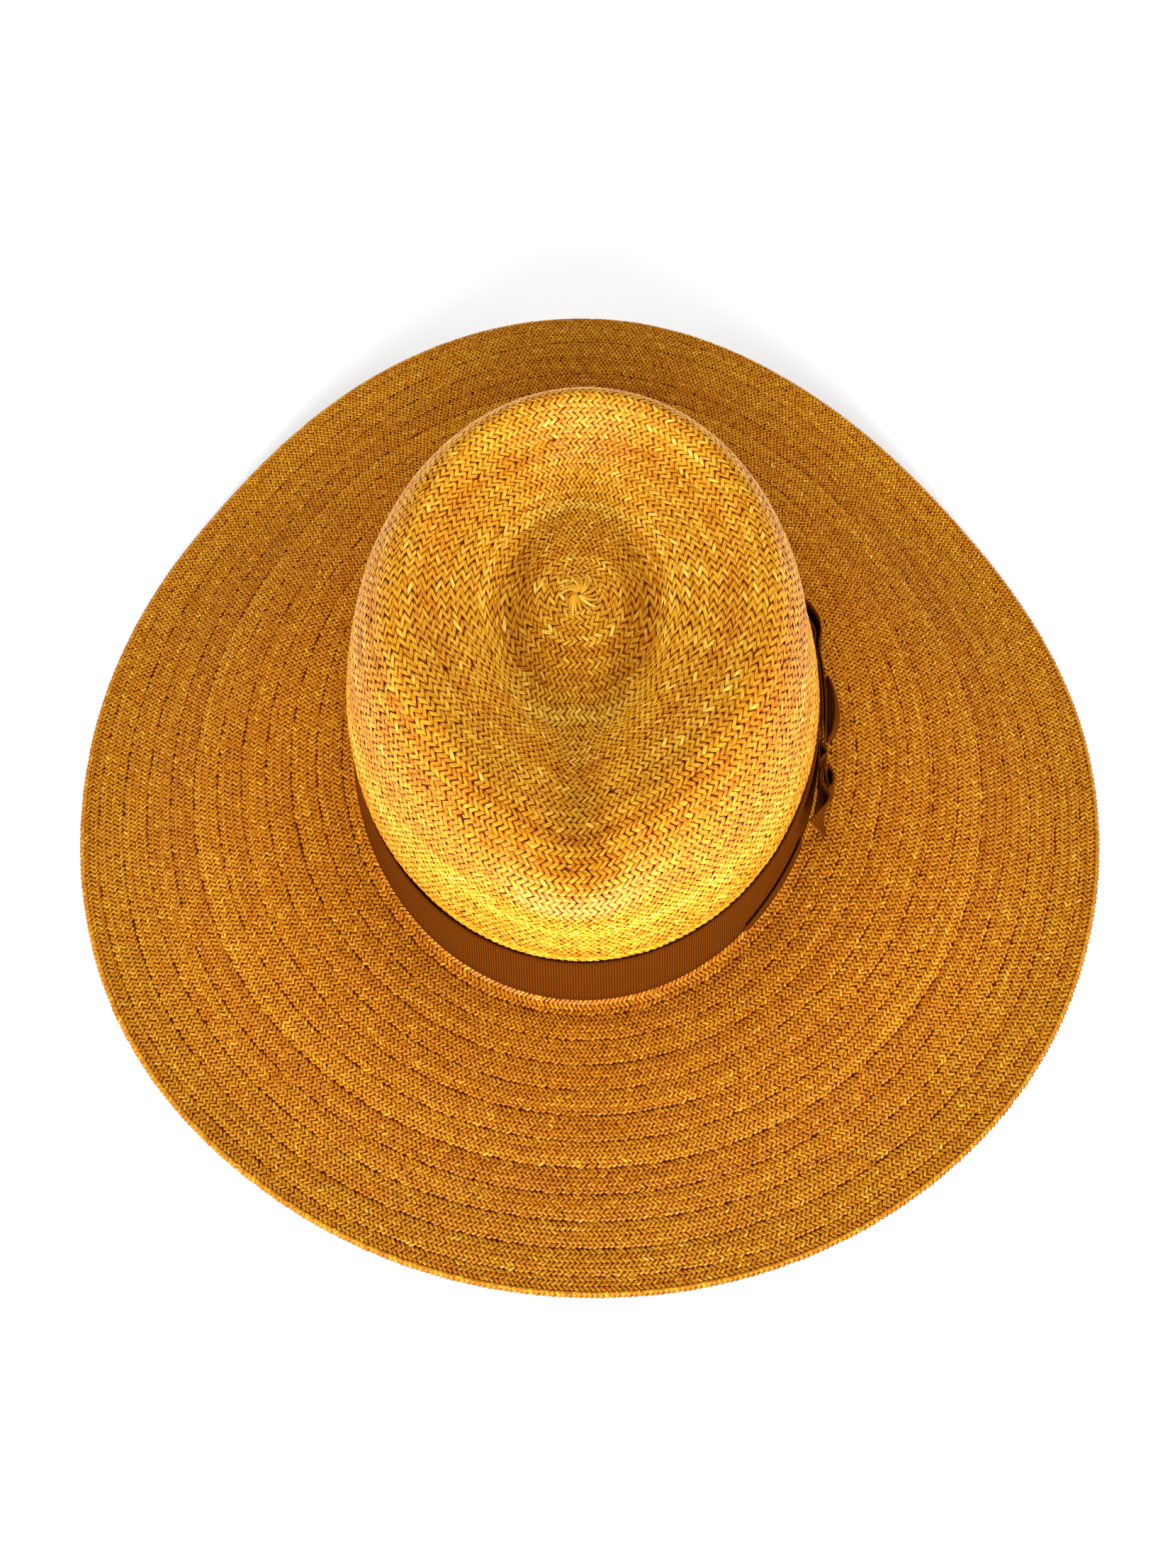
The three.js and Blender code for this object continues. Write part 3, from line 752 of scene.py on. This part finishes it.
def turned_edge():
    """Strand ends folded over the brim's edge and back under it, in slanted teeth."""
    count = BANDS[-1][2]
    t = np.linspace(0, 1, TURNED["steps"])[None, :]
    k = np.arange(count)[:, None]
    turn = math.pi * t
    further = rng.normal(0, TURNED_JITTER["out"], k.shape)
    out = ROWS - TURNED["start"] + TURNED["out"] * np.sin(turn) + further
    lift = -STRAW_WALL / 2 + (STRAW_WALL / 2 + TURNED["proud"]) * np.cos(turn)
    bearing = (k + TURNED["slant"] * t + rng.normal(0, TURNED_JITTER["aside"], k.shape)) * 360 / count
    width = np.full((count, t.size), TURNED["width"])
    bent_strands("turned_edge", EDGE_STRAW, EDGE_TONE, bearing, out, lift, width)


rosette()
turned_edge()

# ---- The ribbon band and bow -------------------------------------------------------------------

CLOTH = 0.6  # thickness of the ribbon itself
RIB_PITCH = 0.9
RIB_HEIGHT = 0.14
RIB_STEPS = 4  # samples of the mesh for each rib
STRIP_STEPS = 60  # places along a strip's middle
STRIP_LINES = 9  # and up its height
BAND_LINES = 6
KNOT_STEPS = 60
KNOT_LINES = 25
CLOTH_SCALE = (1.6, 40, 9)  # the ribbon's threads: along it, for its height, from face to face
BAND_RINGS = [ring for ring in RINGS if ring["name"] in ("base", "band_top")]


def beside_crown(bearing, z, off):
    """Places beside the band's seat on the straw: off is measured square to the straw, in plan."""
    top, base = (ring_points(ring, bearing) for ring in BAND_RINGS)
    share = ((z - BAND_LOW) / (BAND_HIGH - BAND_LOW))[..., None]
    c = np.cos(np.radians(bearing)) / BAND_RINGS[1]["side"]
    s = np.sin(np.radians(bearing)) / BAND_RINGS[1]["front"]
    outward = np.stack([c, s, np.zeros_like(c)], axis=-1)
    outward /= np.linalg.norm(outward, axis=-1, keepdims=True)
    return base + (top - base) * share + outward * off[..., None]


def beside_band(along, z, off):
    """Places at a distance round the band from the wearer's left, standing off the band's face."""
    return beside_crown(np.degrees(along / BAND_RINGS[1]["front"]) % 360, z, GAP + RIBBON + off)


def finer_grid(middle, length, places):
    """The grid's lines with points at those places, where length is each point's place now."""
    fine = np.empty((len(places), *middle.shape[1:]))
    for line in range(middle.shape[1]):
        for axis in range(3):
            fine[:, line, axis] = np.interp(places, length, middle[:, line, axis])
    return fine


def sheet_faces(count, lines, closed):
    """Faces round a thick sheet: count sections, each a loop up one face and down the other."""
    size = 2 * lines
    a = np.arange(count)[:, None] * size + np.arange(size)[None, :]
    if closed:
        b = np.roll(a, -1, axis=0)
    else:
        a, b = a[:-1], a[1:]
    faces = np.stack([a, b, np.roll(b, -1, axis=1), np.roll(a, -1, axis=1)], axis=-1).reshape(-1, 4)
    if closed:
        return faces
    j = np.arange(lines - 1)
    cap = np.stack([j, j + 1, size - 2 - j, size - 1 - j], axis=-1)
    return np.concatenate([faces, cap, cap[:, ::-1] + (count - 1) * size])


def ribbed_sheet(name, middle, rib_axis, closed=False):
    """A ribbon with ribs over a grid of places: a closed solid of its own thickness.

    The ribs follow each other along rib_axis of the grid, a pitch apart along the ribbon.
    """
    if rib_axis == 1:
        middle = middle.transpose(1, 0, 2)
    lines = middle.shape[1]
    step = np.diff(middle, axis=0, append=middle[:1] if closed else middle[-1:])
    length = np.r_[0, np.cumsum(np.linalg.norm(step, axis=2).mean(axis=1))]
    if closed:
        ribs = round(length[-1] / RIB_PITCH)
        middle = np.concatenate([middle, middle[:1]])
    else:
        length = length[:-1]
        ribs = length[-1] / RIB_PITCH
    places = np.linspace(0, length[-1], int(ribs * RIB_STEPS) + 1)
    fine = finer_grid(middle, length, places)
    if closed:
        fine = fine[:-1]
        places = places[:-1]
    rib = 0.5 - 0.5 * np.cos(2 * math.pi * places / length[-1] * ribs)
    if closed:
        run = np.roll(fine, -1, axis=0) - np.roll(fine, 1, axis=0)
    else:
        run = np.gradient(fine, axis=0)
    normal = np.cross(run, np.gradient(fine, axis=1))
    normal /= np.linalg.norm(normal, axis=2, keepdims=True)
    thick = (CLOTH / 2 - RIB_HEIGHT / 2 + RIB_HEIGHT * rib)[:, None, None]
    loop = np.concatenate([fine + normal * thick, (fine - normal * thick)[:, ::-1]], axis=1)
    count, size = loop.shape[:2]
    faces = sheet_faces(count, lines, closed)
    high = np.linspace(0, 1, lines)
    cloth = np.empty((count, size, 3))
    cloth[..., 0] = (places * CLOTH_SCALE[0])[:, None]
    cloth[..., 1] = np.r_[high, high[::-1]] * CLOTH_SCALE[1]
    cloth[..., 2] = np.r_[np.zeros(lines), np.ones(lines)] * CLOTH_SCALE[2]
    values = {
        "rib": np.broadcast_to(rib[:, None], (count, size)).ravel(),
        "cloth": cloth.reshape(-1, 3),
    }
    points = loop.reshape(-1, 3)
    return make_piece(name + "_ribbon", points, faces, GROSGRAIN, [name], values)


# Where the band's upper edge stands off the straw, and how far (mm).
SLACK = named_rows(("bearing", "spread", "off"), [(225, 40, 0.45), (20, 50, 0.25), (130, 45, 0.2)])
BAND_HOLLOW = 0.12  # how far the band's middle lies closer to the straw than its edges


def band_ribbon():
    """The band round the crown."""
    bearing = np.arange(0, 360, 0.5)[:, None]
    high = np.linspace(0, 1, BAND_LINES)[None, :]
    z = BAND_LOW + GAP + (BAND_HIGH - BAND_LOW - GAP) * high
    slack = sum(row["off"] * bump(bearing, row["bearing"], row["spread"]) for row in SLACK)
    off = GAP + RIBBON - CLOTH / 2 + slack * high**3 - BAND_HOLLOW * np.sin(math.pi * high)
    bearing, z, off = np.broadcast_arrays(bearing, z, off)
    ribbed_sheet("hat_band", beside_crown(bearing, z, off), 0, closed=True)


def strip_ribbon(name, rows):
    """A strip of ribbon that stands on edge beside the band, through its table's rows."""
    run = np.linspace(0, 1, STRIP_STEPS)
    rows = smooth_rows(rows, run * (len(rows) - 1))
    along, low_off, high_off, low_z, high_z = (column[:, None] for column in rows.T)
    high = np.linspace(0, 1, STRIP_LINES)[None, :]
    along = along + SLANTED_CUTS.get(name, 0) * run[:, None] ** CUT_POWER * (1 - high)
    off = low_off + (high_off - low_off) * high
    z = low_z + (high_z - low_z) * high
    ribbed_sheet(name, beside_band(along, z, off), 0)


def knot_ribbon():
    """The knot: a strip wrapped up and over the flat layers, fullest at its middle."""
    across = np.linspace(0, 1, KNOT_LINES)[:, None]
    up = np.linspace(0, 1, KNOT_STEPS)[None, :]
    bulge = KNOT["bulge"] * np.sin(math.pi * across) ** KNOT["fullness"]
    off = KNOT["inner_off"] + (KNOT["least"] + bulge) * np.sqrt(np.sin(math.pi * up)) - RIBBON / 2
    turned = 1 - np.cos(math.pi * KNOT["turn"] * up)
    climbed = turned / (1 - math.cos(math.pi * KNOT["turn"]))
    tucked = KNOT["tuck"] * np.maximum(up - KNOT["tuck_from"], 0) / (1 - KNOT["tuck_from"])
    z = KNOT["low_z"] + (KNOT["high_z"] - KNOT["low_z"]) * climbed - tucked
    width = KNOT["front"] - KNOT["rear"] + KNOT["lean"] * np.maximum(1 - climbed, 0)
    along = KNOT["rear"] + width * across
    along, z, off = np.broadcast_arrays(along, z, off)
    ribbed_sheet("bow_knot", beside_band(along, z, off), 1)


band_ribbon()
knot_ribbon()
for strip, strip_rows in STRIPS.items():
    strip_ribbon(strip, strip_rows)

# ---- Stage: camera, floor and light ------------------------------------------------------------

CAMERA_AT = (6.4, -175.5, 419.8)
CAMERA_DOWN = 68.71  # how far it looks below the horizon
CAMERA_YAW = -2.26  # how far it looks towards +X, from straight towards the back
CAMERA_ROLL = -1.02
CAMERA_LENS = 27.26


def place_camera():
    """The camera at the photo's angle and distance."""
    down, yaw, roll = (math.radians(v) for v in (CAMERA_DOWN, CAMERA_YAW, CAMERA_ROLL))
    ahead = np.array([math.sin(yaw) * math.cos(down), math.cos(yaw) * math.cos(down), -math.sin(down)])
    right = np.array([math.cos(yaw), -math.sin(yaw), 0.0])
    up = np.cross(right, ahead)
    right, up = (
        math.cos(roll) * right + math.sin(roll) * up,
        math.cos(roll) * up - math.sin(roll) * right,
    )
    data = bpy.data.cameras.new("camera")
    data.lens = CAMERA_LENS
    data.clip_start = 0.01
    camera = bpy.data.objects.new("camera", data)
    turn = Matrix([right.tolist(), up.tolist(), (-ahead).tolist()]).transposed().to_4x4()
    camera.matrix_world = Matrix.Translation([v * MM for v in CAMERA_AT]) @ turn
    bpy.context.scene.collection.objects.link(camera)
    bpy.context.scene.camera = camera


def area_light(name, bearing, height, distance, size, power, glossy):
    """A soft flat light that looks at the hat from a bearing and a height above the horizon."""
    data = bpy.data.lights.new(name, "AREA")
    data.shape = "RECTANGLE"
    data.size, data.size_y = size
    data.energy = power
    light = bpy.data.objects.new(name, data)
    flat = math.cos(math.radians(height)) * distance
    at = np.array(
        [
            flat * math.cos(math.radians(bearing)),
            flat * math.sin(math.radians(bearing)),
            math.sin(math.radians(height)) * distance,
        ]
    )
    back = (at - LIGHT_AIM) / np.linalg.norm(at - LIGHT_AIM)
    right = np.cross([0, 0, 1], back)
    right /= np.linalg.norm(right)
    up = np.cross(back, right)
    turn = Matrix([right.tolist(), up.tolist(), back.tolist()]).transposed().to_4x4()
    light.matrix_world = Matrix.Translation(at.tolist()) @ turn
    light.visible_glossy = glossy
    bpy.context.scene.collection.objects.link(light)


def place_floor():
    """A white sheet that glows a little, like the photo's background."""
    corners = [(-FLOOR, -FLOOR), (FLOOR, -FLOOR), (FLOOR, FLOOR), (-FLOOR, FLOOR)]
    mesh = bpy.data.meshes.new("floor")
    mesh.from_pydata([(x, y, FLOOR_LEVEL) for x, y in corners], [], [(0, 1, 2, 3)])
    n = Nodes("floor")
    n.set(Base_Color=(*FLOOR_WHITE, 1), Roughness=0.9)
    n.set(Emission_Color=(*WHITE, 1), Emission_Strength=FLOOR_GLOW)
    mesh.materials.append(n.material)
    floor = bpy.data.objects.new("floor", mesh)
    bpy.context.scene.collection.objects.link(floor)


FLOOR = 2.5  # m, from its middle to its sides
FLOOR_LEVEL = -0.0003  # m, under the floats of the brim's underside
FLOOR_WHITE = (0.97, 0.97, 0.97)
FLOOR_GLOW = 0.16

LIGHT_AIM = np.array([0, 0, 0.04])  # m, where the panels look

# Soft panels that stand round the hat: bearing, height above the horizon, distance (m), width and
# height (m), power (W), and whether the straw's gloss shows them.
PANELS = named_rows(
    ("name", "bearing", "height", "distance", "size", "power", "glossy"),
    [
        ("front_panel", 272, 14, 1.5, (1.7, 0.7), 57, True),
        ("left_panel", 180, 20, 1.5, (1.3, 0.9), 14, False),
        ("right_panel", 2, 20, 1.5, (1.3, 0.9), 14, False),
        ("back_panel", 90, 26, 1.5, (1.5, 0.9), 12, False),
    ],
)
SPOT_AT = (-0.001, 0.002)  # m, over the dent
SPOT_HEIGHT = 1.3  # m above the floor
SPOT_REACH = 0.1  # m, radius of the light that it casts on the crown
SPOT_SOFTNESS = 0.12  # m
SPOT_POWER = 74
WORLD_LIGHT = 0.2


def crown_spot():
    """A soft spot from straight above, for the dent in the crown's top."""
    data = bpy.data.lights.new("crown_spot", "SPOT")
    data.energy = SPOT_POWER
    data.spot_size = 2 * math.atan(SPOT_REACH / SPOT_HEIGHT)
    data.spot_blend = 1.0
    data.shadow_soft_size = SPOT_SOFTNESS
    light = bpy.data.objects.new("crown_spot", data)
    light.location = (*SPOT_AT, SPOT_HEIGHT)
    light.visible_glossy = False
    bpy.context.scene.collection.objects.link(light)


def light_scene():
    """The panels, the spot and a weak even light from all sides, which no gloss shows."""
    world = bpy.data.worlds.new("studio")
    world.use_nodes = True
    background = world.node_tree.nodes["Background"]
    background.inputs["Color"].default_value = (1, 1, 1, 1)
    background.inputs["Strength"].default_value = WORLD_LIGHT
    bpy.context.scene.world = world
    world.cycles_visibility.glossy = False
    for panel in PANELS:
        area_light(**panel)
    crown_spot()
    bpy.context.scene.view_settings.view_transform = "Standard"


place_camera()
place_floor()
light_scene()
